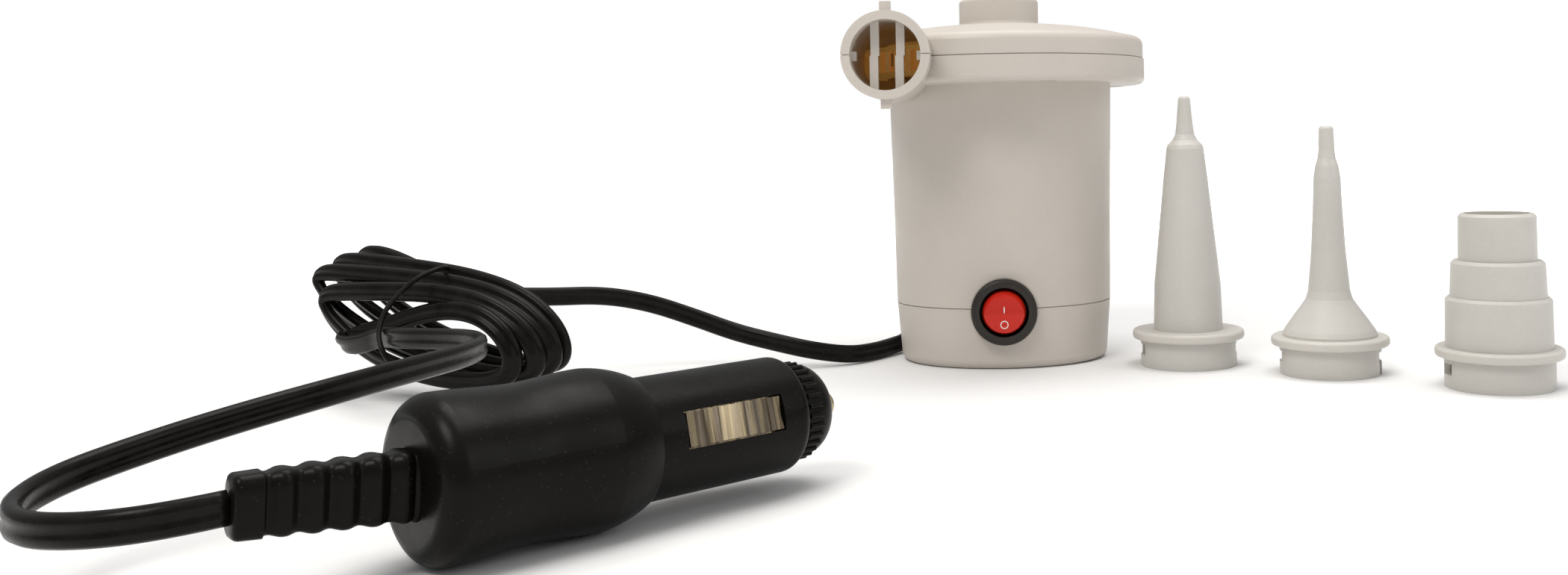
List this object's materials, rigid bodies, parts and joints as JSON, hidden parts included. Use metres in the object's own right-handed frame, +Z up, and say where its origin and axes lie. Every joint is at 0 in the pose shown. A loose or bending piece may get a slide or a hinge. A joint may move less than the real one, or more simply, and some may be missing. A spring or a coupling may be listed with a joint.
{
  "type": "electric air mattress pump",
  "caption": "Upright 12 V air pump with a round fan head, side outlet, top inlet, rocker switch, push-on nozzles and a wound flat cord ending in a lighter-socket plug.",
  "frame": {"origin": "centre of the pump's underside, on the surface that it stands on", "axes": "+Z up, -Y the side with the switch and the outlet, +X towards the loose nozzles"},
  "size_m": [0.3175, 0.2611, 0.103],
  "materials": {
    "housing": "warm off-white moulded ABS, fine satin texture",
    "nozzle": "off-white polyethylene, slightly waxy",
    "fan_amber": "amber brown moulded plastic",
    "bezel": "black nylon",
    "rocker": "red, moulded",
    "plug_black": "black satin",
    "cord_black": "black satin PVC",
    "nickel": "nickel plated",
    "steel": "zinc plated",
    "motor_steel": "plated drawn steel",
    "magnet": "ferrite",
    "copper": "enamelled copper",
    "brass": "brass",
    "bronze": "sintered bronze",
    "glass": "clear",
    "fibre": "red fibre",
    "carbon": "graphite"
  },
  "bodies": {
    "pump": {"base_cap": "housing", "main_housing": "housing", "upper_housing": "housing", "cord_gland": "cord_black", "head_screw_1": "steel", "head_screw_2": "steel", "head_screw_3": "steel", "head_screw_4": "steel", "base_screw_left": "steel", "base_screw_right": "steel", "air_guide": "fan_amber", "motor_can": "motor_steel", "motor_end_cap": "plug_black", "magnet_left": "magnet", "magnet_right": "magnet", "brush_left": "carbon", "brush_right": "carbon", "bushing_front": "bronze", "bushing_rear": "bronze", "motor_terminal_left": "brass", "motor_terminal_right": "brass", "motor_screw_left": "steel", "motor_screw_right": "steel", "switch_body": "bezel", "switch_terminal_left": "brass", "switch_terminal_right": "brass", "cord_lead": "cord_black", "cord_hank": "cord_black", "cord_tail": "cord_black", "twist_tie": "cord_black", "plug_strain_relief": "plug_black", "plug_grip": "plug_black", "plug_barrel": "plug_black"},
    "rotor": {"impeller": "fan_amber", "motor_shaft": "steel", "rotor_core": "motor_steel", "winding_front": "copper", "winding_rear": "copper", "commutator": "copper"},
    "rocker": {"switch_rocker": "rocker"},
    "contact_right": {"side_contact_right": "nickel"},
    "contact_left": {"side_contact_left": "nickel"},
    "cap_carrier": {"plug_washer": "fibre"},
    "cap": {"plug_cap": "plug_black"},
    "tip": {"tip_contact": "nickel", "fuse_cap_front": "nickel", "fuse_glass": "glass", "fuse_cap_rear": "nickel", "fuse_spring": "steel"},
    "cone": {"nozzle_cone": "nozzle"},
    "funnel": {"nozzle_funnel": "nozzle"},
    "stepped": {"nozzle_stepped": "nozzle"}
  },
  "joints": [
    {"name": "motor_spin", "type": "hinge", "parent": "pump", "child": "rotor", "pos_m": [0, 0, 0.06], "axis": [0, 0, 1], "continuous": true},
    {"name": "switch_rock", "type": "hinge", "parent": "pump", "child": "rocker", "pos_m": [0, -0.0246, 0.016], "axis": [1, 0, 0], "range_deg": [-20, 0]},
    {"name": "contact_right_press", "type": "slide", "parent": "pump", "child": "contact_right", "axis": [-0.698, 0.674, -0.2419], "range_m": [0, 0.0012], "stiffness_N_per_m": 400, "springref_m": -0.0008},
    {"name": "contact_left_press", "type": "slide", "parent": "pump", "child": "contact_left", "axis": [0.698, -0.674, 0.2419], "range_m": [0, 0.0012], "stiffness_N_per_m": 400, "springref_m": -0.0008},
    {"name": "cap_travel", "type": "slide", "parent": "pump", "child": "cap_carrier", "axis": [0.6947, 0.7193, 0], "range_m": [0, 0.003]},
    {"name": "cap_turn", "type": "hinge", "parent": "cap_carrier", "child": "cap", "pos_m": [-0.03868, -0.14341, 0.0134], "axis": [0.6947, 0.7193, 0], "range_deg": [0, 1081]},
    {"name": "tip_press", "type": "slide", "parent": "cap_carrier", "child": "tip", "axis": [-0.6947, -0.7193, 0], "range_m": [0, 0.003], "stiffness_N_per_m": 300, "springref_m": -0.003},
    {"name": "cone_lift", "type": "slide", "parent": "pump", "child": "cone", "axis": [0, 0, 1], "range_m": [0, 0.06]},
    {"name": "funnel_lift", "type": "slide", "parent": "pump", "child": "funnel", "axis": [0, 0, 1], "range_m": [0, 0.08]},
    {"name": "stepped_lift", "type": "slide", "parent": "pump", "child": "stepped", "axis": [0, 0, 1], "range_m": [0, 0.08]}
  ],
  "couplings": [
    {"joint": "cap_turn", "follows": "cap_travel", "rad_per_m": 6283.2}
  ]
}
